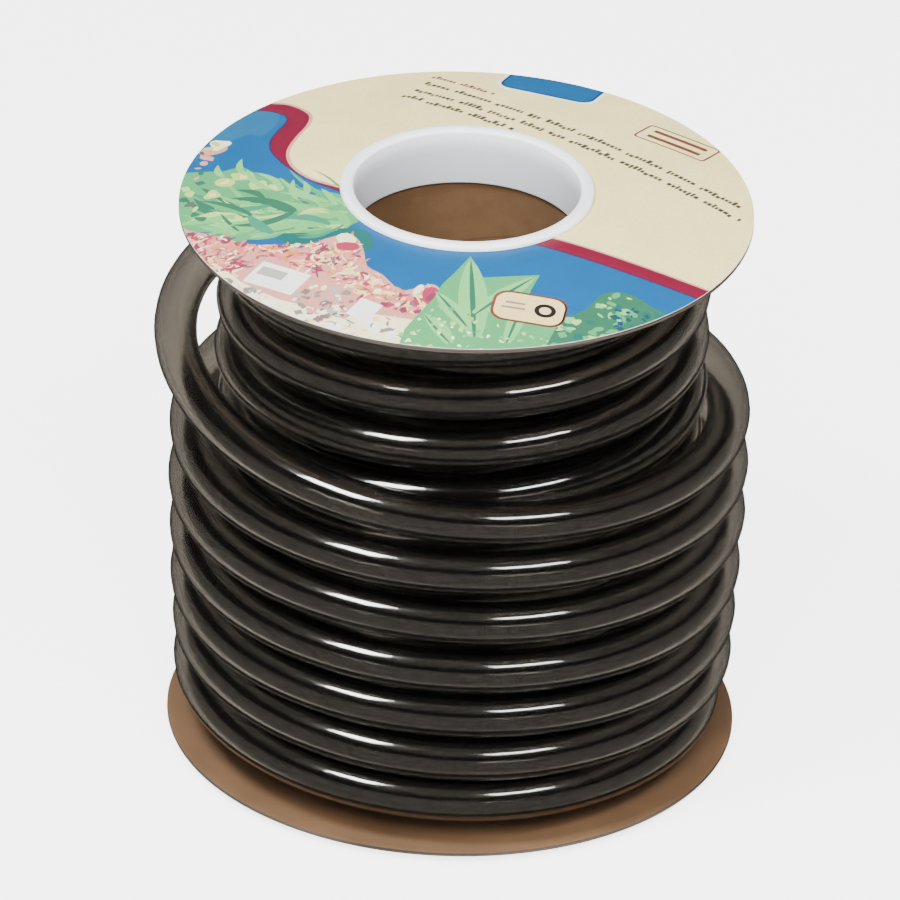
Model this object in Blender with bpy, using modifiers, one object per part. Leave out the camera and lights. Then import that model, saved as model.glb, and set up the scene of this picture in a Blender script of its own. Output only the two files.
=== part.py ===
"""Reel of clear smoke-grey PVC hose.

A cardboard core carries a round board flange at each end. A white plastic collar is pushed through each
flange into the core and clamps it. The hose lies on the core in four layers, and its last turn has sprung
off the winding.
Metres, +Z up along the core, with the origin on the surface that the reel stands on.
"""
import math

import bpy
from mathutils import Vector
from mathutils.geometry import interpolate_bezier

MM = 0.001
GAP = 0.3 * MM  # between two pieces that touch

# Hose
HOSE_R = 11.0 * MM
LOWEST_TURN_Z = 28.1 * MM  # middle of the lowest turn of the outer layer, which lies clear of the flange
OUTER_TURN_STEPS = [25.0, 25.7, 26.8, 29.5, 30.3]  # mm from one turn of the outer layer to the next, going up
OUTER_LAYER_R = (132.0 * MM, 138.0 * MM)  # middle of its lowest and of its highest turn
INNER_TURN_STEP = 29.2 * MM
INNER_LAYER_R = 113.3 * MM
INNER_TOP_TURN_Z = 285.0 * MM

# Cardboard core
CORE_R = 64.2 * MM
CORE_BORE_R = 60.1 * MM

# Collars
RIM_R = 64.5 * MM
RIM_H = 3.5 * MM
SLEEVE_BORE_R = 57.8 * MM
SLEEVE_WALL = 2.0 * MM
SLEEVE_DEPTH = 31.0 * MM

# Flanges and the printed sheet on the upper one
FLANGE_R = 146.0 * MM
BOARD_T = 2.0 * MM
LABEL_T = 0.3 * MM
DISH_FROM_R = 68.0 * MM  # the upper flange is flat as far as this
DISH_DROP = 10.0 * MM  # and its edge lies this much lower
HUB_TOP_Z = 309.8 * MM  # the printed face, round the upper collar

FINE_STEPS = 48
COARSE_STEPS = 36

bottom_board_z = RIM_H + GAP
core_low_z = bottom_board_z + BOARD_T + GAP
label_low_z = HUB_TOP_Z - LABEL_T
top_board_z = label_low_z - GAP - BOARD_T
core_high_z = top_board_z - GAP
top_rim_z = HUB_TOP_Z + GAP
hole_r = SLEEVE_BORE_R + SLEEVE_WALL + GAP

# The loose last turn. Each point is (degrees clockwise from the front, radius, height), in millimetres: it
# comes round the right side on the winding, lifts at the left, and comes down on its own start at the back.
LOOSE_TURN = [
    (-120, 137.4, 186.8),
    (-90, 137.2, 187.2),
    (-60, 137.2, 189.0),
    (-30, 137.4, 191.8),
    (0, 137.8, 195.6),
    (30, 138.6, 201.4),
    (60, 141.6, 211.6),
    (90, 146.6, 224.6),
    (115, 147.6, 232.0),
    (140, 144.8, 234.2),
    (165, 141.4, 231.0),
    (190, 139.2, 224.2),
    (215, 138.4, 214.8),
    (232, 138.2, 209.4),
]
LOOSE_TURN_PARTS = 4  # tube points for each span of the list
outer_layer_high_z = min(z for _, _, z in LOOSE_TURN) * MM - HOSE_R - GAP


def clear_scene():
    for thing in list(bpy.data.objects):
        bpy.data.objects.remove(thing, do_unlink=True)


def material(name, colour, roughness):
    made = bpy.data.materials.new(name)
    made.use_nodes = True
    shader = made.node_tree.nodes["Principled BSDF"]
    shader.inputs["Base Color"].default_value = (*colour, 1)
    shader.inputs["Roughness"].default_value = roughness
    shader.inputs["Metallic"].default_value = 0
    made.diffuse_color = (*colour, 1)
    return made


def arc(centre_r, centre_z, radius, start, end, count):
    """Points on an arc in the profile plane, between two angles in degrees, 0 being outwards and 90 up."""
    angles = [math.radians(start + (end - start) * i / count) for i in range(count + 1)]
    return [(centre_r + radius * math.cos(a), centre_z + radius * math.sin(a)) for a in angles]


def turned(name, outline, steps, mat):
    """A closed outline of (radius, height), which runs down its outer side first, turned about Z."""
    mesh = bpy.data.meshes.new(name)
    count = len(outline)
    edges = [(i, (i + 1) % count) for i in range(count)]
    mesh.from_pydata([(r, 0, z) for r, z in outline], edges, [])
    thing = bpy.data.objects.new(name, mesh)
    parts.objects.link(thing)
    screw = thing.modifiers.new("Turn", "SCREW")
    screw.axis = "Z"
    screw.steps = steps
    screw.render_steps = steps
    screw.use_merge_vertices = True
    screw.merge_threshold = 0.00001
    screw.use_smooth_shade = True
    mesh.materials.append(mat)
    return thing


def dished(r, z):
    """Height of the upper flange at a radius, where the flat middle is at z."""
    out = max(r - DISH_FROM_R, 0) / (FLANGE_R - DISH_FROM_R)
    return z - DISH_DROP * out**1.3


def core():
    outline = [(CORE_R, core_high_z), (CORE_R, core_low_z)]
    outline += [(CORE_BORE_R, core_low_z), (CORE_BORE_R, core_high_z)]
    return turned("core_tube", outline, FINE_STEPS, board)


def bottom_flange():
    low, high = bottom_board_z, bottom_board_z + BOARD_T
    outline = [(FLANGE_R, high), (FLANGE_R, low), (hole_r, low), (hole_r, high)]
    return turned("bottom_flange", outline, FINE_STEPS, board)


def dished_ring(name, low_z, thickness, mat):
    radii = [FLANGE_R - (FLANGE_R - DISH_FROM_R) * i / 5 for i in range(6)] + [hole_r]
    under = [(r, dished(r, low_z)) for r in radii]
    over = [(r, z + thickness) for r, z in reversed(under)]
    return turned(name, under + over, FINE_STEPS, mat)


def collar(name, flange_z, up):
    """A collar whose rim lies on a flange's outer face at flange_z. up is 1 on the upper flange, -1 below."""
    rim_mid_r = (RIM_R + SLEEVE_BORE_R) / 2
    round_r = (RIM_R - SLEEVE_BORE_R) / 2
    land = RIM_H * 0.45  # height of the rim's upright sides
    sleeve_r = SLEEVE_BORE_R + SLEEVE_WALL
    half_round = arc(rim_mid_r, land, round_r, 0, 180, 8)
    crown = [(r, land + (z - land) * (RIM_H - land) / round_r) for r, z in half_round]
    flat_top = [p for p in crown if p[1] > RIM_H * 0.93]
    crown = [(r, RIM_H if (r, z) in flat_top else z) for r, z in crown]
    depth = SLEEVE_DEPTH - RIM_H
    outer = list(reversed(crown)) + [(RIM_R, 0), (sleeve_r, 0), (sleeve_r, -depth), (SLEEVE_BORE_R, -depth)]
    outline = [(r, flange_z + up * z) for r, z in outer]
    if up < 0:
        outline.reverse()
    return turned(name, outline, FINE_STEPS, plastic)


def turn_bump(r, z, start, end):
    return arc(r, z, HOSE_R, start, end, 4)


def inner_layers():
    """The outer shape of the three layers under the outer one. Only the turns above that one stand out."""
    face_r = INNER_LAYER_R + HOSE_R
    outline = [(CORE_R + GAP, INNER_TOP_TURN_Z + HOSE_R)]
    z = INNER_TOP_TURN_Z
    while z - HOSE_R > outer_layer_high_z:
        outline += turn_bump(INNER_LAYER_R, z, 70, -70)
        z -= INNER_TURN_STEP
    outline += [(face_r, outer_layer_high_z), (face_r, core_low_z), (CORE_R + GAP, core_low_z)]
    return turned("hose_inner_layers", outline, COARSE_STEPS, hose)


def outer_layer():
    """The outer shape of the outer layer, less the loose last turn."""
    turn_z = [LOWEST_TURN_Z]
    for step in OUTER_TURN_STEPS:
        turn_z.append(turn_z[-1] + step * MM)
    top = len(turn_z) - 1
    low_r, high_r = OUTER_LAYER_R
    face_r = INNER_LAYER_R + HOSE_R + GAP
    outline = []
    for i in range(top, -1, -1):
        r = low_r + (high_r - low_r) * i / top
        bump = turn_bump(r, turn_z[i], 90 if i == top else 65, -90 if i == 0 else -65)
        outline += [(p, min(z, outer_layer_high_z)) for p, z in bump]
    outline += [(face_r, LOWEST_TURN_Z - HOSE_R), (face_r, outer_layer_high_z)]
    return turned("hose_outer_layer", outline, COARSE_STEPS, hose)


def loose_turn():
    points = []
    for angle, r, z in LOOSE_TURN:
        a = math.radians(angle)
        points.append(Vector((-r * math.sin(a), -r * math.cos(a), z)) * MM)
    route = []
    last = len(points) - 1
    for i in range(last):
        before = points[max(i - 1, 0)]
        start, end = points[i], points[i + 1]
        after = points[min(i + 2, last)]
        handle_a = start + (end - before) / 6
        handle_b = end - (after - start) / 6
        route += interpolate_bezier(start, handle_a, handle_b, end, LOOSE_TURN_PARTS + 1)[:-1]
    route.append(points[-1])

    curve = bpy.data.curves.new("hose_loose_turn", "CURVE")
    curve.dimensions = "3D"
    curve.bevel_depth = HOSE_R
    curve.bevel_resolution = 3
    curve.use_fill_caps = True
    spline = curve.splines.new("POLY")
    spline.points.add(len(route) - 1)
    for point, place in zip(spline.points, route):
        point.co = (*place, 1)
    curve.materials.append(hose)
    thing = bpy.data.objects.new("hose_loose_turn", curve)
    parts.objects.link(thing)
    return thing


clear_scene()
parts = bpy.data.collections.new("hose_reel")
bpy.context.scene.collection.children.link(parts)

board = material("kraft board", (0.33, 0.18, 0.085), 0.85)
paper = material("printed paper", (0.76, 0.70, 0.55), 0.45)
plastic = material("white plastic", (0.80, 0.81, 0.84), 0.35)
hose = material("smoke PVC", (0.035, 0.03, 0.025), 0.12)

core()
bottom_flange()
dished_ring("top_flange", top_board_z, BOARD_T, board)
dished_ring("top_label", label_low_z, LABEL_T, paper)
collar("top_collar", top_rim_z, 1)
collar("bottom_collar", bottom_board_z - GAP, -1)
inner_layers()
outer_layer()
loose_turn()
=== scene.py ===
"""Looks of the hose reel: the hose at its real length, the boards, the printed sheet and the collars."""
import math
import random

import bpy
import numpy as np
from mathutils import Matrix, Vector, noise
from mathutils.geometry import delaunay_2d_cdt


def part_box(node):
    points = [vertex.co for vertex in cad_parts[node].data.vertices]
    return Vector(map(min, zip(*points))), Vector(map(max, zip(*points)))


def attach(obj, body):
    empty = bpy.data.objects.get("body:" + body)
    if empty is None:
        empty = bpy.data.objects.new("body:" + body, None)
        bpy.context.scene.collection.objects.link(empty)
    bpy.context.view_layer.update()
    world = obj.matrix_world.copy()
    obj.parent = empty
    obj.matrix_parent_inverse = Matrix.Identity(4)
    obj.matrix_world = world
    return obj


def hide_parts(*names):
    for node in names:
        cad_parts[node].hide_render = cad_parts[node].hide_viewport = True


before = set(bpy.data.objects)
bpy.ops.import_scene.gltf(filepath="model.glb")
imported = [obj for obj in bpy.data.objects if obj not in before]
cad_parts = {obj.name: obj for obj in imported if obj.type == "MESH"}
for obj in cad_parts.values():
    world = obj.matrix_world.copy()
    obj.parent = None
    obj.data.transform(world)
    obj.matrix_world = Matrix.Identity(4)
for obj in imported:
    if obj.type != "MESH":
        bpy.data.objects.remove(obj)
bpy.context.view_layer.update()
MM = 0.001

# ---------------------------------------------------------------- camera

CAMERA_AIM = Vector((-0.0043, 0, 0.1584))
CAMERA_DISTANCE = 8.0
CAMERA_ELEVATION = math.radians(29.65)
CAMERA_ROLL = math.radians(1.9)
CAMERA_LENS = 625.7


def make_camera():
    back = Vector((0, -math.cos(CAMERA_ELEVATION), math.sin(CAMERA_ELEVATION)))
    data = bpy.data.cameras.new("camera")
    data.lens = CAMERA_LENS
    data.clip_end = 50
    camera = bpy.data.objects.new("camera", data)
    camera.location = CAMERA_AIM + back * CAMERA_DISTANCE
    turn = (-back).to_track_quat("-Z", "Y").to_matrix() @ Matrix.Rotation(CAMERA_ROLL, 3, "Z")
    camera.rotation_euler = turn.to_euler()
    bpy.context.scene.collection.objects.link(camera)
    bpy.context.scene.camera = camera


make_camera()

# ---------------------------------------------------------------- material tools

MIX_A, MIX_B, MIX_RESULT = 6, 7, 2  # places of a Mix node's colour sockets
WHITE = (1, 1, 1)


class Nodes:
    """Builds one material's node tree."""

    def __init__(self, name):
        self.material = bpy.data.materials.new(name)
        self.material.use_nodes = True
        self.tree = self.material.node_tree
        self.shader = self.tree.nodes["Principled BSDF"]
        self.output = self.tree.nodes["Material Output"]

    def add(self, kind, settings=None, **inputs):
        node = self.tree.nodes.new(kind)
        for key, value in (settings or {}).items():
            setattr(node, key, value)
        for key, value in inputs.items():
            self.put(node.inputs[key.replace("_", " ")], value)
        return node

    def put(self, socket, value):
        if isinstance(value, bpy.types.NodeSocket):
            self.tree.links.new(value, socket)
        elif socket.type == "RGBA" and len(value) == 3:
            socket.default_value = (*value, 1)
        else:
            socket.default_value = value

    def set(self, **inputs):
        """Sets or links the shader's own sockets."""
        for key, value in inputs.items():
            self.put(self.shader.inputs[key.replace("_", " ")], value)

    def place(self, scale=(1, 1, 1)):
        coord = self.add("ShaderNodeTexCoord")
        return self.add("ShaderNodeMapping", Vector=coord.outputs["Object"], Scale=scale).outputs["Vector"]

    def noise(self, scale, detail, roughness, stretch=(1, 1, 1)):
        return self.add(
            "ShaderNodeTexNoise", Vector=self.place(stretch), Scale=scale, Detail=detail, Roughness=roughness
        ).outputs["Fac"]

    def ramp(self, value, stops):
        node = self.add("ShaderNodeValToRGB", Fac=value)
        ramp = node.color_ramp
        while len(ramp.elements) < len(stops):
            ramp.elements.new(0.5)
        for element, (place, colour) in zip(ramp.elements, stops):
            element.position = place
            element.color = (*colour, 1)
        return node.outputs["Color"]

    def grey(self, value, low, high, at=(0.3, 0.7)):
        """A number from low to high, as value goes from the one to the other end of at."""
        return self.add("ShaderNodeMapRange", {"clamp": True}, Value=value, **{
            "From_Min": at[0], "From_Max": at[1], "To_Min": low, "To_Max": high
        }).outputs["Result"]

    def mix(self, kind, factor, a, b):
        node = self.tree.nodes.new("ShaderNodeMix")
        node.data_type = "RGBA"
        node.blend_type = kind
        self.put(node.inputs["Factor"], factor)
        self.put(node.inputs[MIX_A], a)
        self.put(node.inputs[MIX_B], b)
        return node.outputs[MIX_RESULT]

    def math(self, operation, a, b=0.0):
        node = self.tree.nodes.new("ShaderNodeMath")
        node.operation = operation
        self.put(node.inputs[0], a)
        self.put(node.inputs[1], b)
        return node.outputs[0]

    def bump(self, height, strength, distance):
        node = self.add("ShaderNodeBump", Height=height, Strength=strength, Distance=distance)
        self.put(self.shader.inputs["Normal"], node.outputs["Normal"])


# ---------------------------------------------------------------- mesh tools

STEPS = 192  # round a turned piece
SHARP = 35  # degrees between two faces whose edge stays sharp


def link(thing, *nodes, slot):
    """Adds a piece that stands for CAD nodes."""
    bpy.context.scene.collection.objects.link(thing)
    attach(thing, "root")
    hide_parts(*nodes)


def mesh_object(name, verts, faces, material, sharp=SHARP):
    mesh = bpy.data.meshes.new(name)
    mesh.from_pydata([tuple(v) for v in verts], [], [tuple(f) for f in faces])
    mesh.validate()
    mesh.materials.append(material)
    mesh.shade_smooth()
    mesh.set_sharp_from_angle(angle=math.radians(sharp))
    return bpy.data.objects.new(name, mesh)


def revolved(name, outline, material, sharp=SHARP):
    """A closed outline of (radius, height), down its outer side first, turned about Z."""
    verts, faces = [], []
    count = len(outline)
    for i in range(STEPS):
        a = 2 * math.pi * i / STEPS
        verts += [(r * math.cos(a), r * math.sin(a), z) for r, z in outline]
        for j in range(count):
            k, n = (j + 1) % count, (i + 1) % STEPS
            faces.append((i * count + j, i * count + k, n * count + k, n * count + j))
    return mesh_object(name, verts, faces, material, sharp)


def arc(centre_r, centre_z, radius, start, end, count):
    """Points of (radius, height) on an arc, between two angles in degrees, 0 being outwards and 90 up."""
    angles = [math.radians(start + (end - start) * i / count) for i in range(count + 1)]
    return [(centre_r + radius * math.cos(a), centre_z + radius * math.sin(a)) for a in angles]


def spread(start, end, count):
    """Points evenly along a straight line, both ends included."""
    return [tuple(np.array(start) + (np.array(end) - np.array(start)) * i / count) for i in range(count + 1)]


# ---------------------------------------------------------------- hose

HOSE_R = 11.0
HOSE_BORE_R = 8.0
SIDES = 20
VISIBLE_RING = 8.5  # mm between the rings of the two outer layers' mesh
HIDDEN_RING = 14.0  # and of the layers under them
SMOKE_COLOUR = (0.31, 0.285, 0.24)
SMOKE_DENSITY = 500.0  # per metre

# The middle line of the hose, as (degrees wound, radius, height) in mm. Degrees run clockwise from the front.
TOP_Z, BOTTOM_Z = 288.0, 17.4  # the highest and the lowest turn of the three inner layers
LAYER_R = (75.4, 94.2, 113.2)  # those layers from the core outwards
LAYER_TURNS = (6.2, 6.2, 9.35)
BARE_LAYER = (205.0, 115.0)  # the third layer is a little wider from this height up, where nothing lies on it
CROSSING = 110  # degrees that the hose takes to step out to the next layer
INNER_END = -2460  # where the third layer ends, at the bottom of the core
OUTER_START = -2178  # and where the outer layer starts
SMOOTHING = 45  # degrees over which the route is averaged
SWAY_R, SWAY_Z = 1.1, 1.6  # how far the winding strays, in mm
SWAY_PERIOD_R, SWAY_PERIOD_Z = 61.0, 83.0  # and over how many degrees
SWAY_ENDS = -60  # the loose turn doesn't stray
SWAY_FADE = 200
OUTER_TURNS = [(132.0, 28.1), (133.0, 53.1), (134.4, 78.8), (135.8, 105.6), (137.0, 135.1), (138.0, 165.4)]
LOOSE_TURN = [
    (-120, 137.4, 186.8),
    (-90, 137.2, 187.2),
    (-60, 137.2, 189.0),
    (-30, 137.4, 191.8),
    (0, 137.8, 195.6),
    (30, 138.6, 201.4),
    (60, 141.6, 211.6),
    (90, 146.6, 224.6),
    (115, 147.6, 232.0),
    (140, 144.8, 234.2),
    (165, 141.4, 231.0),
    (190, 139.2, 224.2),
    (215, 138.4, 214.8),
    (232, 138.2, 209.4),
]


def winding_stations():
    """Where the hose's pitch or layer changes, from its inner end to the loose turn."""
    bare_z, bare_r = BARE_LAYER
    turn_step = (TOP_Z - BOTTOM_Z) / LAYER_TURNS[2]
    bare_from = INNER_END - 360 * (bare_z - BOTTOM_Z) / turn_step
    stations = [(INNER_END, LAYER_R[2], BOTTOM_Z), (bare_from + 180, LAYER_R[2], bare_z - turn_step / 2)]
    stations.append((bare_from, bare_r, bare_z))
    degrees = INNER_END - LAYER_TURNS[2] * 360
    stations.append((degrees, bare_r, TOP_Z))
    for layer, near_z, far_z in ((1, TOP_Z, BOTTOM_Z), (0, BOTTOM_Z, TOP_Z)):
        degrees -= CROSSING
        stations.append((degrees, LAYER_R[layer], near_z))
        degrees -= LAYER_TURNS[layer] * 360
        stations.append((degrees, LAYER_R[layer], far_z))
    stations.reverse()
    stations += [(OUTER_START + 360 * i, r, z) for i, (r, z) in enumerate(OUTER_TURNS)]
    return stations + LOOSE_TURN


def hose_route():
    """The hose's middle line from its inner end to its outer end, in metres."""
    stations = np.array(winding_stations(), float)
    fine = np.arange(stations[0, 0], stations[-1, 0] + 1e-6, 1.0)
    r = np.interp(fine, stations[:, 0], stations[:, 1])
    z = np.interp(fine, stations[:, 0], stations[:, 2])
    window = np.hanning(SMOOTHING + 2)[1:-1]
    window /= window.sum()
    half = len(window) // 2

    def smooth(values):
        padded = np.concatenate(
            [2 * values[0] - values[half:0:-1], values, 2 * values[-1] - values[-2 : -half - 2 : -1]]
        )
        return np.convolve(padded, window, "valid")

    r, z = smooth(r), smooth(z)
    sway_r = np.array([noise.noise((w / SWAY_PERIOD_R, 3.1, 0)) for w in fine])
    sway_z = np.array([noise.noise((w / SWAY_PERIOD_Z, 7.7, 0)) for w in fine])
    wound = np.clip((SWAY_ENDS - fine) / SWAY_FADE, 0, 1)
    r = r + sway_r * SWAY_R * wound
    z = z + sway_z * SWAY_Z * wound
    route = []
    w = fine[0]
    while w < fine[-1]:
        here_r = np.interp(w, fine, r)
        route.append((w, here_r, np.interp(w, fine, z)))
        step = HIDDEN_RING if w < INNER_END - LAYER_TURNS[2] * 360 else VISIBLE_RING
        w += math.degrees(step / here_r)
    route.append((fine[-1], r[-1], z[-1]))
    turns = np.array(route)
    a = np.radians(turns[:, 0])
    return np.stack([-turns[:, 1] * np.sin(a), -turns[:, 1] * np.cos(a), turns[:, 2]], 1) * MM


def tube_mesh(route, outer_r, bore_r, sides):
    """Rings round the route, outer and inner, as vertices and faces of one closed hollow tube."""
    tangent = np.gradient(route, axis=0)
    tangent /= np.linalg.norm(tangent, axis=1)[:, None]
    side = np.cross(tangent, (0, 0, 1.0))
    side /= np.linalg.norm(side, axis=1)[:, None]
    up = np.cross(side, tangent)
    a = 2 * np.pi * np.arange(sides) / sides
    round_dir = np.cos(a)[None, :, None] * side[:, None, :] + np.sin(a)[None, :, None] * up[:, None, :]
    outer = route[:, None, :] + outer_r * round_dir
    inner = route[:, None, :] + bore_r * round_dir
    rings = len(route)
    verts = np.concatenate([outer.reshape(-1, 3), inner.reshape(-1, 3)])
    ring, spoke = np.meshgrid(np.arange(rings - 1), np.arange(sides), indexing="ij")
    here, there = ring * sides + spoke, ring * sides + (spoke + 1) % sides
    skin = np.stack([here, here + sides, there + sides, there], -1).reshape(-1, 4)
    bore = skin[:, ::-1] + rings * sides
    first = np.arange(sides)
    after = (first + 1) % sides
    last = (rings - 1) * sides
    deep = rings * sides
    start_cap = np.stack([first, after, after + deep, first + deep], -1)
    end_cap = np.stack([first + deep, after + deep, after, first], -1) + last
    return verts, np.concatenate([skin, bore, start_cap, end_cap])


def hose_material():
    """Clear plastic, smoked all through, so it is darker the more of it the light passes."""
    m = Nodes("smoke PVC")
    m.set(Base_Color=(0.9, 0.88, 0.85), Transmission_Weight=0.999, IOR=1.5)
    m.set(Roughness=0.12, Specular_IOR_Level=0.2)
    m.set(Coat_Weight=1.0, Coat_Roughness=0.06, Coat_IOR=1.5)
    depth = m.add("ShaderNodeVolumeAbsorption", Color=SMOKE_COLOUR, Density=SMOKE_DENSITY)
    m.put(m.output.inputs["Volume"], depth.outputs["Volume"])
    return m.material


def make_hose():
    route = hose_route()
    verts, faces = tube_mesh(route, HOSE_R * MM, HOSE_BORE_R * MM, SIDES)
    hose = mesh_object("hose", verts, faces, hose_material(), 40)
    link(hose, "hose_inner_layers", "hose_outer_layer", "hose_loose_turn", slot="hose_pvc")


make_hose()

# ---------------------------------------------------------------- reel

flange_low, flange_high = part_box("bottom_flange")
core_low, core_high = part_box("core_tube")
collar_low, collar_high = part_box("top_collar")
foot_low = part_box("bottom_collar")[0]
board_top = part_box("top_flange")[1].z
label_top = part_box("top_label")[1].z

FLANGE_R = flange_high.x
CORE_R = core_high.x
RIM_R = collar_high.x
HOLE_R = 60.1 * MM
SLEEVE_R = 57.8 * MM
SLEEVE_WALL = 2.0 * MM
RIM_H = 3.5 * MM
DISH_FROM_R = 68.0 * MM
DISH_DROP = 10.0 * MM
BOARD_T = flange_high.z - flange_low.z
LABEL_T = 0.3 * MM
EDGE_EASE = 0.35 * MM  # radius of a board's worn edges
EDGE_FACES_UP = 0.9  # a face of the rim that looks up or down more than this is part of the board's flat side
CORE_JOINT_STEP = 0.09  # metres up the core for each turn of its paper's joint


def dished(r):
    """Height of the upper flange at a radius, from its flat middle downwards."""
    out = max(r - DISH_FROM_R, 0) / (FLANGE_R - DISH_FROM_R)
    return -DISH_DROP * out**1.3


def board_material():
    m = Nodes("kraft board")
    fibre = m.noise(900, 4, 0.6)
    cloud = m.noise(18, 3, 0.5)
    colour = m.ramp(cloud, [(0.3, (0.105, 0.058, 0.028)), (0.7, (0.150, 0.084, 0.041))])
    colour = m.mix("MULTIPLY", 1.0, colour, m.ramp(fibre, [(0.3, (0.8, 0.78, 0.76)), (0.7, WHITE)]))
    m.set(Base_Color=colour, Roughness=m.grey(fibre, 0.75, 0.95))
    m.bump(fibre, 0.35, 0.0002)
    return m.material


def core_material():
    """Paper wound into a tube: mottled, with the paper's spiral joint inside."""
    m = Nodes("core board")
    cloud, fibre = m.noise(26, 4, 0.6), m.noise(620, 4, 0.6, (1, 1, 3))
    colour = m.ramp(cloud, [(0.3, (0.092, 0.047, 0.021)), (0.7, (0.136, 0.076, 0.036))])
    place = m.add("ShaderNodeSeparateXYZ", Vector=m.place())
    around = m.math("DIVIDE", m.math("ARCTAN2", place.outputs["Y"], place.outputs["X"]), 2 * math.pi)
    along = m.math("DIVIDE", place.outputs["Z"], CORE_JOINT_STEP)
    turn = m.math("FRACT", m.math("ADD", m.math("ADD", around, along), 1.0))
    joint = m.ramp(turn, [(0.0, (0.55, 0.52, 0.5)), (0.012, WHITE), (0.5, (0.96, 0.96, 0.96)), (0.99, WHITE)])
    colour = m.mix("MULTIPLY", 1.0, colour, joint)
    colour = m.mix("MULTIPLY", 1.0, colour, m.ramp(fibre, [(0.3, (0.78, 0.77, 0.75)), (0.7, WHITE)]))
    m.set(Base_Color=colour, Roughness=m.grey(fibre, 0.75, 0.95))
    m.bump(fibre, 0.4, 0.0002)
    return m.material


def plastic_material():
    """White plastic, with painted shade darkening the sleeves down in the bore; the two rims keep their full
    white.
    """
    m = Nodes("white plastic")
    grain = m.noise(420, 2, 0.5)
    cloud = m.noise(22, 2, 0.5)
    colour = m.ramp(cloud, [(0.3, (0.83, 0.845, 0.89)), (0.7, (0.88, 0.89, 0.93))])
    height = m.add("ShaderNodeSeparateXYZ", Vector=m.place()).outputs["Z"]
    # painted shade: the sleeve band inside the bore is darkened as if it lay in shadow
    bore_shade = (0.60, 0.60, 0.61)
    sleeve = m.ramp(height, [(0.003, WHITE), (0.009, bore_shade), (0.303, bore_shade), (0.3105, WHITE)])
    colour = m.mix("MULTIPLY", 1.0, colour, sleeve)
    m.set(Base_Color=colour, Roughness=m.grey(grain, 0.32, 0.42), Subsurface_Weight=0.15)
    m.set(Subsurface_Radius=(0.004, 0.004, 0.005), Subsurface_Scale=0.4)
    m.bump(grain, 0.12, 0.0001)
    return m.material


def edge_material():
    """The cut edge of a board, with its plies as fine lines, darkened near to black as painted shade along
    the edge.
    """
    m = Nodes("cut board")
    plies = m.add("ShaderNodeTexNoise", Vector=m.place((12, 12, 1600)), Scale=1.0, Detail=2.0).outputs["Fac"]
    # painted shade: both tones are near black, so the board's edge reads as lying in shadow
    colour = m.ramp(plies, [(0.4, (0.018, 0.013, 0.010)), (0.6, (0.050, 0.038, 0.028))])
    m.set(Base_Color=colour, Roughness=0.9)
    m.bump(plies, 0.4, 0.0002)
    return m.material


def flange(name, node, heights, material, edge):
    """A round board with a hole and worn edges. heights gives its under side's height at a radius."""
    corner_r = FLANGE_R - EDGE_EASE
    radii = list(np.linspace(corner_r, DISH_FROM_R, 25)) + [HOLE_R]
    rim_z = heights(FLANGE_R)
    upper_corner = arc(corner_r, rim_z + BOARD_T - EDGE_EASE, EDGE_EASE, 90, 0, 3)
    lower_corner = arc(corner_r, rim_z + EDGE_EASE, EDGE_EASE, 0, -90, 3)
    under = [(r, heights(r)) for r in radii[1:]]
    over = [(r, z + BOARD_T) for r, z in reversed(under)]
    board = revolved(name, upper_corner + lower_corner + under + over, material)
    board.data.materials.append(edge)
    for polygon in board.data.polygons:
        if math.hypot(*polygon.center[:2]) > corner_r and abs(polygon.normal.z) < EDGE_FACES_UP:
            polygon.material_index = 1
    link(board, node, slot="flange_board")


def collar(name, node, flange_z, up, material):
    """A collar whose rim lies on a flange's outer face at flange_z. up is 1 on the upper flange, -1 below."""
    mid_r = (RIM_R + SLEEVE_R) / 2
    round_r = (RIM_R - SLEEVE_R) / 2
    land = RIM_H * 0.4  # height of the rim's upright sides
    half_round = arc(mid_r, land, round_r, 180, 0, 24)
    crown = [(r, land + (z - land) * (RIM_H - land) / round_r) for r, z in half_round]
    sleeve_r = SLEEVE_R + SLEEVE_WALL
    lip_r = SLEEVE_WALL / 2
    lip_z = collar_low.z - collar_high.z + RIM_H + 0.8 * MM  # middle of the sleeve's rounded lower edge
    bore = spread((SLEEVE_R, lip_z), (SLEEVE_R, land - 0.3 * MM), 6)
    outline = crown + [(RIM_R, 0.0), (sleeve_r, 0.0), (sleeve_r, lip_z)]
    outline += arc(sleeve_r - lip_r, lip_z, lip_r, -10, -170, 6) + bore
    outline = [(r, flange_z + up * z) for r, z in outline]
    if up < 0:
        outline.reverse()
    link(revolved(name, outline, material, sharp=50), node, slot="collar_plastic")


def make_reel():
    kraft = board_material()
    plastic = plastic_material()
    core = [(CORE_R, core_high.z), (CORE_R, core_low.z), (HOLE_R, core_low.z), (HOLE_R, core_high.z)]
    link(revolved("core", core, core_material()), "core_tube", slot="core_board")
    edge = edge_material()
    flange("lower_flange", "bottom_flange", lambda r: flange_low.z, kraft, edge)
    flange("upper_flange", "top_flange", lambda r: board_top - BOARD_T + dished(r), kraft, edge)
    collar("upper_collar", "top_collar", collar_high.z - RIM_H, 1, plastic)
    collar("lower_collar", "bottom_collar", foot_low.z + RIM_H, -1, plastic)


make_reel()

# ---------------------------------------------------------------- printed sheet

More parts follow.
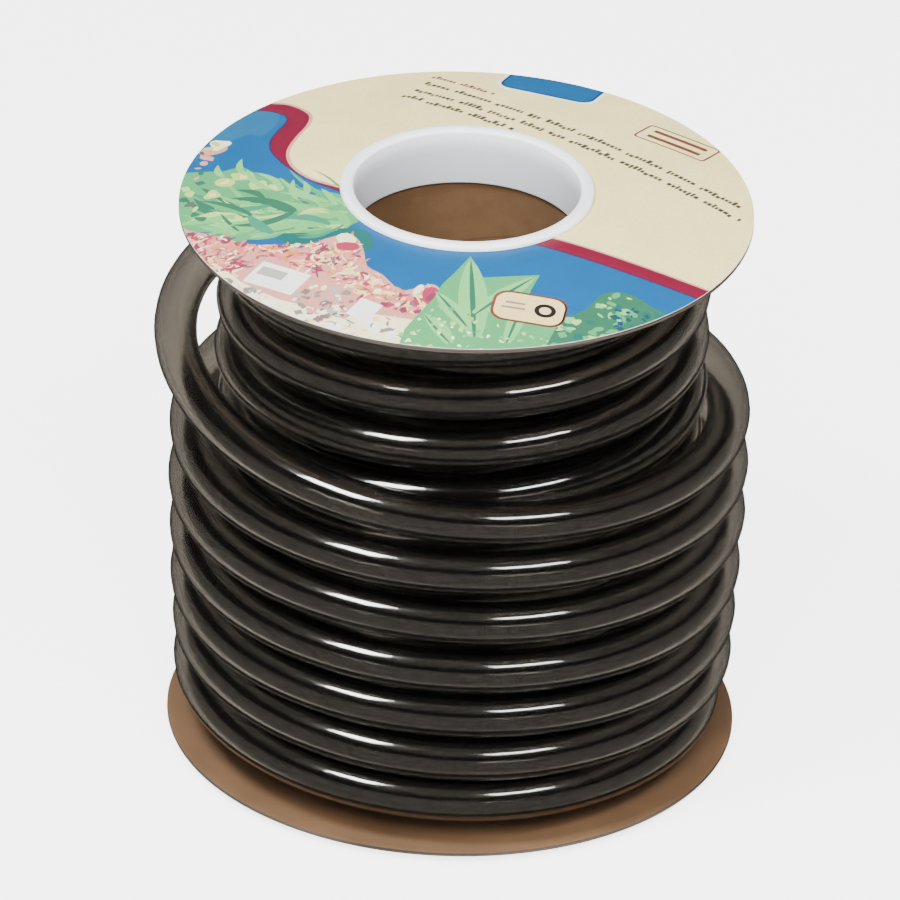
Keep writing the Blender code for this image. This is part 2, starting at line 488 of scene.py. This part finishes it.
# Inks, as the share of light that the printed paper gives back
INK = {
    "cream": (0.88, 0.74, 0.33),
    "white": (0.84, 0.84, 0.82),
    "red": (0.165, 0.008, 0.029),
    "blush": (0.62, 0.27, 0.22),
    "plum": (0.047, 0.019, 0.08),
    "sea": (0.004, 0.093, 0.255),
    "shallow": (0.012, 0.12, 0.26),
    "deep": (0.012, 0.044, 0.114),
    "leaf": (0.07, 0.33, 0.12),
    "young_leaf": (0.17, 0.50, 0.16),
    "fern": (0.13, 0.44, 0.13),
    "mint": (0.035, 0.24, 0.14),
    "straw": (0.40, 0.58, 0.16),
    "moss": (0.028, 0.135, 0.075),
    "teal": (0.011, 0.113, 0.103),
    "dark_teal": (0.015, 0.064, 0.075),
    "pink": (0.70, 0.14, 0.16),
    "rose": (0.37, 0.035, 0.087),
    "wine": (0.214, 0.035, 0.077),
    "peach": (0.84, 0.62, 0.27),
    "sand": (0.60, 0.24, 0.05),
    "shell": (0.86, 0.82, 0.50),
    "stone": (0.215, 0.198, 0.158),
    "slate": (0.083, 0.10, 0.088),
    "mauve": (0.20, 0.11, 0.13),
    "silver": (0.36, 0.34, 0.30),
    "olive": (0.055, 0.052, 0.034),
    "brick": (0.15, 0.045, 0.03),
    "coal": (0.016, 0.014, 0.014),
}

ROW_TURN = math.radians(-36.3)  # the lines of small print run this way across the sheet
PRINT_SEED = 11


def curve(points, closed=False, parts=5):
    """A smooth line (Catmull-Rom) through points in millimetres, x to the right and y to the back."""
    pts = [np.array(p, float) for p in points]
    count = len(pts)
    line = []
    for i in range(count if closed else count - 1):
        if closed:
            a, b, c, d = (pts[(i + k) % count] for k in (-1, 0, 1, 2))
        else:
            a, b, c, d = (pts[min(max(i + k, 0), count - 1)] for k in (-1, 0, 1, 2))
        for t in np.arange(parts) / parts:
            line.append(0.5 * (2 * b + (c - a) * t + (2 * a - 5 * b + 4 * c - d) * t**2
                               + (3 * b - a - 3 * c + d) * t**3))
    if not closed:
        line.append(pts[-1])
    return line


def strip(line, width, shift=0.0):
    """The outline of a band along a line, with shift moving it to the line's left."""
    line = np.array(line)
    way = np.gradient(line, axis=0)
    way /= np.linalg.norm(way, axis=1)[:, None]
    left = np.stack([-way[:, 1], way[:, 0]], 1)
    return list(line + left * (shift + width / 2)) + list((line + left * (shift - width / 2))[::-1])


def panel(centre, size, turn=0.0, corner=0.0):
    """A rectangle with rounded corners."""
    w, h = size[0] / 2 - corner, size[1] / 2 - corner
    points = []
    for i, (x, y) in enumerate(((w, h), (-w, h), (-w, -h), (w, -h))):
        steps = 5 if corner else 0
        for j in range(steps + 1):
            a = math.pi / 2 * (i + (j / steps if steps else 0))
            points.append((x + corner * math.cos(a), y + corner * math.sin(a)))
    cos, sin = math.cos(turn), math.sin(turn)
    return [(centre[0] + x * cos - y * sin, centre[1] + x * sin + y * cos) for x, y in points]


def blob(rng, centre, size):
    """A lumpy round shape."""
    lobes, phase, depth = rng.choice((2, 3, 4)), rng.uniform(0, 6.3), rng.uniform(0.08, 0.24)
    squeeze, turn = rng.uniform(0.45, 1.0), rng.uniform(0, math.pi)
    points = []
    for i in range(14):
        a = 2 * math.pi * i / 14
        r = size * (1 + depth * math.sin(lobes * a + phase))
        x, y = r * math.cos(a), r * squeeze * math.sin(a)
        points.append((centre[0] + x * math.cos(turn) - y * math.sin(turn),
                       centre[1] + x * math.sin(turn) + y * math.cos(turn)))
    return points


def leaf(root, tip, width, bend):
    """A pointed blade from root to tip, bowed sideways by bend."""
    root, tip = np.array(root, float), np.array(tip, float)
    way = tip - root
    side = np.array((-way[1], way[0])) / np.linalg.norm(way)
    middle = (root + tip) / 2 + side * bend
    line, half = [], []
    for t in np.linspace(0, 1, 9):
        line.append((1 - t) ** 2 * root + 2 * t * (1 - t) * middle + t**2 * tip)
        half.append(width / 2 * math.sin(math.pi * min(0.12 + 0.88 * t, 1)) ** 0.8 + 0.05)
    left = [p + side * h for p, h in zip(line, half)]
    right = [p - side * h for p, h in zip(line, half)]
    return left + right[::-1]


def inside(points, outline):
    """Which of the points lie inside an outline."""
    outline = np.asarray(outline, float)
    hit = np.zeros(len(points), bool)
    near = np.where(((points >= outline.min(0)) & (points <= outline.max(0))).all(1))[0]
    x, y = points[near, 0], points[near, 1]
    odd = np.zeros(len(near), bool)
    for (ax, ay), (bx, by) in zip(outline, np.roll(outline, -1, axis=0)):
        if ay != by:
            odd ^= ((ay > y) != (by > y)) & (x < (bx - ax) * (y - ay) / (by - ay) + ax)
    hit[near] = odd
    return hit


def scatter(rng, region, inks, count, sizes):
    """Lumps of colour all over a region of the sheet."""
    region = np.array(region, float)
    low, high = region.min(0), region.max(0)
    shapes = []
    while len(shapes) < count:
        place = np.array([[rng.uniform(low[0], high[0]), rng.uniform(low[1], high[1])]])
        if inside(place, region)[0]:
            shapes.append((rng.choice(inks), blob(rng, place[0], rng.uniform(*sizes))))
    return shapes


def fringes(rng, region, inks, count):
    """Short curved strokes all over a region, as coral branches."""
    strokes = []
    for ink, outline in scatter(rng, region, inks, count, (1.0, 1.0)):
        x, y = np.mean(outline, axis=0)
        reach, way = rng.uniform(3, 8), rng.uniform(0, 2 * math.pi)
        tip = (x + reach * math.cos(way), y + reach * math.sin(way))
        strokes.append((ink, leaf((x, y), tip, rng.uniform(0.8, 1.8), rng.uniform(-3, 3))))
    return strokes


def print_row(rng, start, end, across, height, ink):
    """A line of small print, as rows of plain marks that spell nothing."""
    cos, sin = math.cos(ROW_TURN), math.sin(ROW_TURN)
    shapes = []
    along = start
    letters = 0
    while along < end:
        if letters == 0:
            letters = rng.randint(3, 11)
            along += height * 0.7
        wide, tall = rng.uniform(0.3, 0.55) * height, rng.choice((0.6, 0.62, 0.62, 0.95)) * height
        low = rng.choice((0, 0, 0, -0.2)) * height
        middle = (along + wide / 2, across + low + tall / 2)
        centre = (middle[0] * cos - middle[1] * sin, middle[0] * sin + middle[1] * cos)
        shapes.append((ink, panel(centre, (wide, tall), ROW_TURN)))
        along += wide + 0.13 * height
        letters -= 1
    return shapes


# The ribbon's outer edge, from the rim at the back left down to the hub, and its inner edge
RIBBON_OUTER = [(-112, 107), (-101, 103.5), (-94, 101), (-88, 95.3), (-83.3, 88), (-81.8, 81), (-83.5, 71),
                (-88.3, 58), (-92, 45), (-92.5, 35), (-90, 24), (-84, 13), (-74.6, 4), (-56, -6)]
RIBBON_INNER = [(-115, 98), (-104, 95), (-97, 90), (-93, 84), (-93.3, 77), (-97.6, 66), (-100.5, 56),
                (-100.4, 45), (-96.2, 33), (-88.5, 19), (-77, 5), (-56, -11)]
BAND_START, BAND_END = (30, -46.7), (140, -90.3)  # middle line of the straight band, from hub to rim


def sea_shapes():
    """The water from the ribbon to the front rim, with a paler stretch and a pool in it."""
    water = curve(RIBBON_INNER) + [(30, -46), BAND_START, BAND_END, (160, -160), (-160, -160), (-160, 98)]
    shore = [(-150, 98), (-104, 94), (-97, 88), (-99, 74), (-106, 62), (-112, 66), (-125, 60), (-150, 80)]
    pool = [(-96, -46), (-80, -40), (-62, -42), (-50, -46), (-46, -60), (-52, -64), (-66, -50), (-84, -58)]
    return [("sea", water), ("shallow", curve(shore, True)), ("teal", curve(pool, True, 3))]


def ribbon_shapes():
    """The curved ribbon and the straight band between the sea and the cream sheet."""
    outer, inner = curve(RIBBON_OUTER), curve(RIBBON_INNER)
    band = [np.array(BAND_START), np.array(BAND_END)]
    return [
        ("blush", strip(outer, 2.4, 0.6)),
        ("red", outer + inner[::-1]),
        ("plum", strip(inner, 1.0, -0.3)),
        ("red", strip(band, 9.4)),
        ("blush", strip(band, 1.3, 5.2)),
        ("plum", strip(band, 1.0, -4.9)),
    ]


def meadow_shapes(rng):
    """Water plants at the left."""
    ground = [(-150, 22), (-133, 26), (-126, 24), (-115, 27), (-106, 17), (-97, 12), (-88, 6), (-80, -8),
              (-70, -6), (-60, -12), (-52, -28), (-58, -40), (-72, -43), (-85, -39), (-96, -48), (-110, -48),
              (-128, -38), (-150, -28)]
    shapes = [("leaf", curve(ground, True, 3))]
    greens = ("leaf", "young_leaf", "fern", "leaf", "straw", "fern", "moss", "mint")
    for i in range(110):
        root = (rng.uniform(-118, -58), rng.uniform(-44, -14))
        reach, way = rng.uniform(12, 44), math.radians(rng.uniform(115, 205))
        tip = (root[0] + reach * math.cos(way), min(root[1] + reach * math.sin(way), 22))
        shapes.append((rng.choice(greens), leaf(root, tip, rng.uniform(1.6, 6.4), rng.uniform(-12, 12))))
    for centre, size in (((-123, 12), 6), ((-114, 17), 6.5), ((-106, 6), 5), ((-129, 0), 4.5), ((-97, 2), 4)):
        shapes += [("straw", blob(rng, centre, size)), ("peach", blob(rng, centre, size * 0.45))]
    fronds = [((-124, 18), (-127, 32), 3), ((-113, 18), (-115, 37), 4), ((-94, -2), (-108, 20), -6),
              ((-86, -12), (-88, 9), 3), ((-82, -10), (-83, 7), -3), ((-70, -16), (-95, 12), 7),
              ((-66, -20), (-74, -2), -2), ((-100, 0), (-112, 24), 5)]
    return shapes + [("young_leaf", leaf(root, tip, 3.6, bend)) for root, tip, bend in fronds]


def reef_shapes(rng):
    """Coral and gravel at the front left, with plain white labels on them."""
    reef = [(-155, -28), (-140, -34), (-126, -42), (-109, -53), (-95, -55), (-82, -60), (-72, -53),
            (-62, -49), (-55, -52), (-51, -64), (-49, -78), (-41, -86), (-32, -99), (-23, -97), (-16, -94),
            (-11, -100), (-12, -112), (-24, -124), (-30, -155), (-155, -155)]
    warm = [(-150, -32), (-126, -44), (-95, -57), (-74, -56), (-56, -50), (-50, -78), (-32, -100), (-14, -98),
            (-22, -122), (-46, -108), (-60, -96), (-78, -78), (-100, -66), (-118, -82), (-142, -60)]
    bank = [(-128, -76), (-112, -86), (-92, -104), (-58, -118), (-24, -124), (-20, -150), (-150, -150)]
    grey = [(-86, -98), (-76, -90), (-56, -98), (-52, -112), (-62, -128), (-84, -116)]
    shapes = [("blush", curve(reef, True, 3))]
    warm_inks = ("pink", "rose", "peach", "shell", "wine", "pink", "sand", "blush", "peach")
    shapes += scatter(rng, warm, warm_inks, 260, (1.0, 3.4)) + fringes(rng, warm, warm_inks + ("mauve",), 330)
    bank_inks = ("white", "shell", "silver", "white", "peach", "stone", "white", "slate")
    shapes += [("shell", curve(bank, True, 2))]
    shapes += scatter(rng, bank, bank_inks, 130, (1.0, 3.6)) + fringes(rng, bank, bank_inks, 110)
    shapes += scatter(rng, grey, ("mauve", "stone", "blush", "silver", "shell"), 70, (1.0, 2.8))
    shapes += [("shell", blob(rng, (-60, -53), 5.5)), ("rose", blob(rng, (-59, -60), 5)),
               ("shell", blob(rng, (-23, -99), 4.5)), ("rose", blob(rng, (-16, -104), 7)),
               ("wine", blob(rng, (-16, -105), 4))]
    patch_turn = math.radians(-32)
    return shapes + [
        ("white", panel((-94, -85), (29, 19), patch_turn)),
        ("silver", panel((-96.5, -80.5), (15, 7), patch_turn)),
        ("white", panel((-49.5, -115), (13, 15), patch_turn)),
    ]


def star_shapes(rng):
    """The broad-leaved plant in front."""
    star = [(3, -68), (5, -79), (9, -87), (22, -85), (38, -82), (35, -91), (33, -98), (41, -108), (50, -118),
            (52, -155), (-34, -155), (-29, -131), (-23, -120), (-15, -106), (-11, -94), (-5, -84)]
    shapes = [("leaf", star)]
    blades = (((6, -136), (3, -70), 15), ((6, -118), (36, -83.5), 10), ((2, -128), (-14, -100), 9),
              ((22, -140), (32, -99), 8), ((-6, -142), (-20, -118), 8))
    for root, tip, width in blades:
        shapes.append(("young_leaf", leaf(root, tip, width, rng.uniform(-3, 3))))
        shapes.append(("moss", leaf(root, tip, width * 0.18, rng.uniform(-2, 2))))
    sand = [(-34, -132), (-12, -112), (18, -124), (44, -134), (40, -150), (-30, -150)]
    return shapes + scatter(rng, sand, ("straw", "young_leaf", "shell", "leaf"), 90, (0.7, 1.7))


def bush_shapes(rng):
    """The low bush at the front right."""
    bush = [(44, -150), (48, -122), (54, -114), (61, -108), (66, -99), (70, -93), (77, -90), (86, -92),
            (94, -99), (102, -104), (112, -112), (90, -150)]
    shapes = [("moss", curve(bush, True, 3))]
    shapes += scatter(rng, bush, ("moss", "leaf", "teal", "young_leaf", "leaf", "straw"), 110, (1.0, 3.4))
    shade = [(70, -112), (84, -98), (96, -112), (80, -124)]
    return shapes + scatter(rng, shade, ("dark_teal", "deep"), 16, (0.9, 2.2))


def rim_shapes(rng):
    """Small growths along the rim at the left."""
    shapes = []
    for ink, centre, size in (("blush", (-130, 50), 7), ("shell", (-127, 56), 6), ("blush", (-133, 42), 5)):
        shapes.append((ink, blob(rng, centre, size)))
    for i in range(16):
        a = math.radians(156 + 34 * i / 15)
        r = rng.uniform(136, 144)
        ink = rng.choice(("mauve", "straw", "moss", "blush", "slate"))
        shapes.append((ink, blob(rng, (r * math.cos(a), r * math.sin(a)), rng.uniform(1.6, 3.6))))
    return shapes


def sign_shapes(rng):
    """The plain tab, frame and plate, and the lines of small print."""
    tab_turn = math.radians(-21)
    tab, plate, frame_at = (43, 132), (33, -111), (106.5, 71.5)
    frame_turn = math.radians(-30)
    shapes = [
        ("white", panel(tab, (55, 36), tab_turn, 9)),
        ("deep", panel(tab, (51, 32), tab_turn, 7.5)),
        ("sea", panel(tab, (48.5, 29.5), tab_turn, 6.5)),
        ("brick", panel(frame_at, (42, 20), frame_turn, 2.5)),
        ("cream", panel(frame_at, (39.6, 17.6), frame_turn, 1.6)),
    ]
    for shift in (3.7, -3.7):
        centre = (frame_at[0] - shift * math.sin(frame_turn), frame_at[1] + shift * math.cos(frame_turn))
        shapes.append(("brick", panel(centre, (31, 3.2), frame_turn)))
    plate_turn = math.radians(-9)
    shapes += [
        ("brick", panel(plate, (38, 25), plate_turn, 8)),
        ("coal", panel((plate[0] + 0.5, plate[1] - 0.2), (36, 23), plate_turn, 7.5)),
        ("peach", panel(plate, (35, 22), plate_turn, 7)),
        ("coal", panel((41, -112), (11, 11), plate_turn, 5.4)),
        ("peach", panel((41, -112), (6, 6), plate_turn, 2.9)),
        ("stone", panel((26, -107), (10, 1.6), plate_turn)),
        ("stone", panel((25, -111), (12, 1.6), plate_turn)),
    ]
    shapes += print_row(rng, -99, -60, 97.5, 3.8, "brick")
    shapes += print_row(rng, -97, 107, 87, 4.6, "olive")
    shapes += print_row(rng, -95, 113, 76, 4.6, "olive")
    return shapes + print_row(rng, -95, -22, 66, 4.4, "olive")


def print_shapes():
    """Everything printed on the cream sheet, from the back to the front."""
    rng = random.Random(PRINT_SEED)
    shapes = sea_shapes() + meadow_shapes(rng) + reef_shapes(rng) + star_shapes(rng) + bush_shapes(rng)
    return shapes + rim_shapes(rng) + ribbon_shapes() + sign_shapes(rng)


def cut_sheet(shapes):
    """Triangles of the round sheet that follow every outline, with an ink for each."""
    points, edges = [], []

    def add(outline):
        first = len(points)
        points.extend(Vector((float(x), float(y))) for x, y in outline)
        edges.extend((first + i, first + (i + 1) % len(outline)) for i in range(len(outline)))

    radii = [HOLE_R / MM] + list(np.linspace(DISH_FROM_R, FLANGE_R, 14) / MM)
    angles = [2 * math.pi * i / STEPS for i in range(STEPS)]
    for r in radii:
        add([(r * math.cos(a), r * math.sin(a)) for a in angles])
    for _, outline in shapes:
        add(outline)
    cut = delaunay_2d_cdt(points, edges, [], 0, 1e-4, False)
    verts, faces = cut[0], cut[2]
    verts = np.array([tuple(v) for v in verts])
    faces = np.array([tuple(f) for f in faces])
    middles = verts[faces].mean(1)
    far = np.hypot(*middles.T)
    chord = math.cos(math.pi / STEPS)  # the rim's straight sides come this near to the middle
    kept = (far < radii[-1] * chord) & (far > radii[0])
    faces, middles = faces[kept], middles[kept]
    inks = np.tile(INK["cream"], (len(faces), 1))
    for ink, outline in shapes:
        inks[inside(middles, outline)] = INK[ink]
    used, faces = np.unique(faces, return_inverse=True)
    return verts[used] * MM, faces.reshape(-1, 3), inks


def label_material():
    m = Nodes("printed paper")
    ink = m.add("ShaderNodeAttribute", {"attribute_name": "ink"}).outputs["Color"]
    fibre = m.noise(700, 3, 0.6)
    cloud = m.noise(30, 3, 0.6)
    colour = m.mix("MULTIPLY", 1.0, ink, m.ramp(cloud, [(0.3, (0.90, 0.90, 0.89)), (0.7, WHITE)]))
    colour = m.mix("MULTIPLY", 1.0, colour, m.ramp(fibre, [(0.35, (0.90, 0.90, 0.90)), (0.6, WHITE)]))
    m.set(Base_Color=colour, Roughness=m.grey(fibre, 0.5, 0.62), Specular_IOR_Level=0.25)
    m.bump(fibre, 0.1, 0.0001)
    return m.material


def make_label():
    """The printed sheet, closed and as thick as its node, lying on the dished flange."""
    flat, faces, inks = cut_sheet(print_shapes())
    count = len(flat)
    drop = np.array([dished(math.hypot(x, y)) for x, y in flat])
    over = np.column_stack([flat, label_top + drop])
    under = np.column_stack([flat, label_top - LABEL_T + drop])
    ends = np.concatenate([faces[:, (0, 1)], faces[:, (1, 2)], faces[:, (2, 0)]])
    pairs = set(map(tuple, ends))
    rim = [(a, b) for a, b in ends if (b, a) not in pairs]
    walls = [(b, a, a + count, b + count) for a, b in rim]
    every = [tuple(f) for f in faces] + [tuple(f[::-1] + count) for f in faces] + walls
    label = mesh_object("label", np.concatenate([over, under]), every, label_material())
    colour = label.data.color_attributes.new("ink", "FLOAT_COLOR", "CORNER")
    face_inks = np.concatenate([inks, np.tile(INK["white"], (len(faces) + len(walls), 1))])
    corners = np.array([polygon.loop_total for polygon in label.data.polygons])
    rgba = np.column_stack([np.repeat(face_inks, corners, axis=0), np.ones(corners.sum())])
    colour.data.foreach_set("color", rgba.ravel())
    far = np.linalg.norm(flat, axis=1)
    slope = np.array([(dished(r + MM / 2) - dished(r - MM / 2)) / MM for r in far])
    away = flat / far[:, None]
    up = np.column_stack([-away * slope[:, None], np.ones(count)])
    up /= np.linalg.norm(up, axis=1)[:, None]
    label.data.normals_split_custom_set_from_vertices(np.concatenate([up, -up]))
    link(label, "top_label", slot="printed_sheet")


make_label()

# ---------------------------------------------------------------- floor and light

FLOOR_GLOW = 4.0
SWEEP_FROM, SWEEP_R = 14.0, 6.0  # where the table starts to curve up into the backdrop, and how tightly
GLOW_FROM = (0.10, 0.15)  # metres from the axis: the table glows all round the reel and fades out under it, a painted shadow beneath the reel and in its hub
WORLD_LIGHT = (0.45, 0.28)  # below and above the horizon
LIGHTS_FACE = Vector((0, 0, 0.16))
LIGHT_DISTANCE = 3.0
RIGHT_BOX_POWER = 50
LEFT_BOX_POWER = 130
FRONT_FILL_POWER = 155


def area_light(name, azimuth, elevation, width, height, power):
    """A softbox facing the reel. Azimuth 0 is in front, and 90 on the right."""
    a, e = math.radians(azimuth), math.radians(elevation)
    away = Vector((math.sin(a) * math.cos(e), -math.cos(a) * math.cos(e), math.sin(e)))
    data = bpy.data.lights.new(name, "AREA")
    data.shape = "RECTANGLE"
    data.size, data.size_y = width, height
    data.energy = power
    light = bpy.data.objects.new(name, data)
    light.location = LIGHTS_FACE + away * LIGHT_DISTANCE
    light.rotation_euler = (-away).to_track_quat("-Z", "Y").to_euler()
    bpy.context.scene.collection.objects.link(light)
    return light


def make_floor():
    """A pale table that curves up into a backdrop."""
    white = Nodes("floor")
    place = white.add("ShaderNodeVectorMath", {"operation": "LENGTH"}, Vector=white.place()).outputs["Value"]
    # painted shadow: the table's glow fades to nothing towards the reel's axis
    glow = white.grey(place, 0.0, FLOOR_GLOW, GLOW_FROM)
    white.set(Base_Color=(0.5, 0.5, 0.5), Roughness=0.9, Emission_Color=WHITE, Emission_Strength=glow)
    sweep = [(0.001, 0), (SWEEP_FROM, 0)] + arc(SWEEP_FROM, SWEEP_R, SWEEP_R, -80, 0, 16)
    under = [(r, z - 0.01) for r, z in reversed(sweep)]
    floor = revolved("floor", sweep + under, white.material)
    bpy.context.scene.collection.objects.link(floor)
    floor.visible_glossy = False  # the studio round the table is dark, and the hose mirrors that


def make_world():
    world = bpy.data.worlds.new("world")
    bpy.context.scene.world = world
    world.use_nodes = True
    tree = world.node_tree
    coord = tree.nodes.new("ShaderNodeTexCoord")
    split = tree.nodes.new("ShaderNodeSeparateXYZ")
    fade = tree.nodes.new("ShaderNodeMapRange")
    background = tree.nodes["Background"]
    tree.links.new(coord.outputs["Generated"], split.inputs["Vector"])
    tree.links.new(split.outputs["Z"], fade.inputs["Value"])
    fade.inputs["From Min"].default_value = -0.3
    fade.inputs["From Max"].default_value = 0.3
    fade.inputs["To Min"].default_value, fade.inputs["To Max"].default_value = WORLD_LIGHT
    tree.links.new(fade.outputs["Result"], background.inputs["Strength"])


def make_lights():
    area_light("right_box", 40.5, 51, 1.15, 0.36, RIGHT_BOX_POWER)
    area_light("left_box", -49, 60, 0.8, 0.72, LEFT_BOX_POWER)
    fill = area_light("front_fill", 0, 42, 1.4, 1.0, FRONT_FILL_POWER)
    fill.visible_glossy = False  # it evens the light on the boards and leaves no mark on the hose
    fill.visible_transmission = False


make_floor()
make_world()
make_lights()
